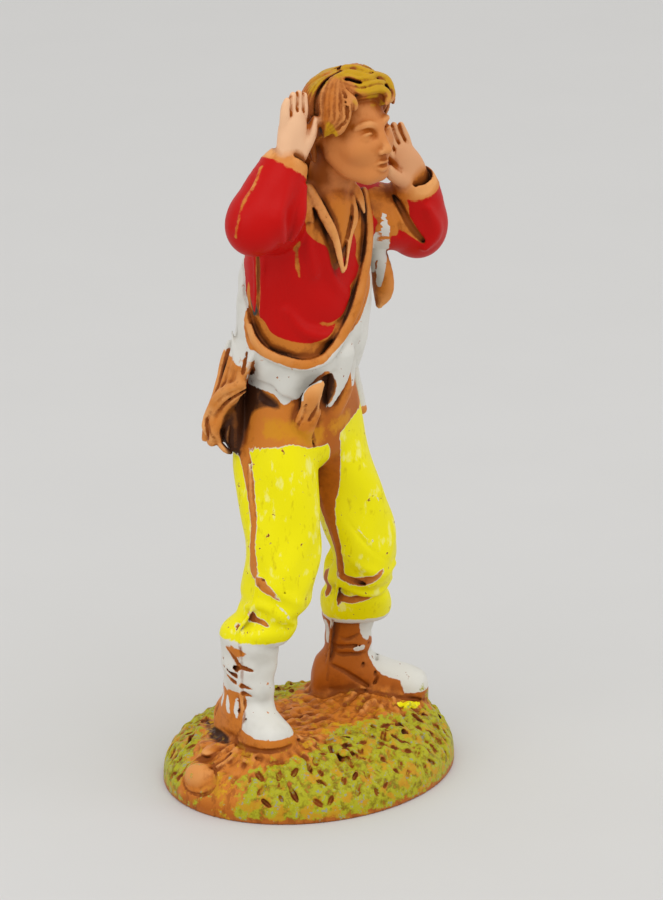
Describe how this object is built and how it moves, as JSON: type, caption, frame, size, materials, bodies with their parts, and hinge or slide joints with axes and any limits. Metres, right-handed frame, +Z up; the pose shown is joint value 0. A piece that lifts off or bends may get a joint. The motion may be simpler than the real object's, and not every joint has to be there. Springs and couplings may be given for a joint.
{
  "type": "santon town crier figurine",
  "caption": "Small painted crib figure of a young man calling out with both hands raised beside his head, cast in one with an oval grassy mound that it stands on.",
  "frame": {"origin": "centre of the flat underside of the oval mound", "axes": "+Z up, the face looks along -Y, the figure's left hand is on the +X side and the mound is longest along X"},
  "size_m": [0.043, 0.036, 0.0995],
  "materials": {
    "painted_casting": "moulded flesh-tan plastic, painted red, yellow, off-white and green by hand, with a brown wash left in the hollows and a soft sheen"
  },
  "bodies": {
    "root": {"figurine": "painted_casting"}
  },
  "joints": []
}
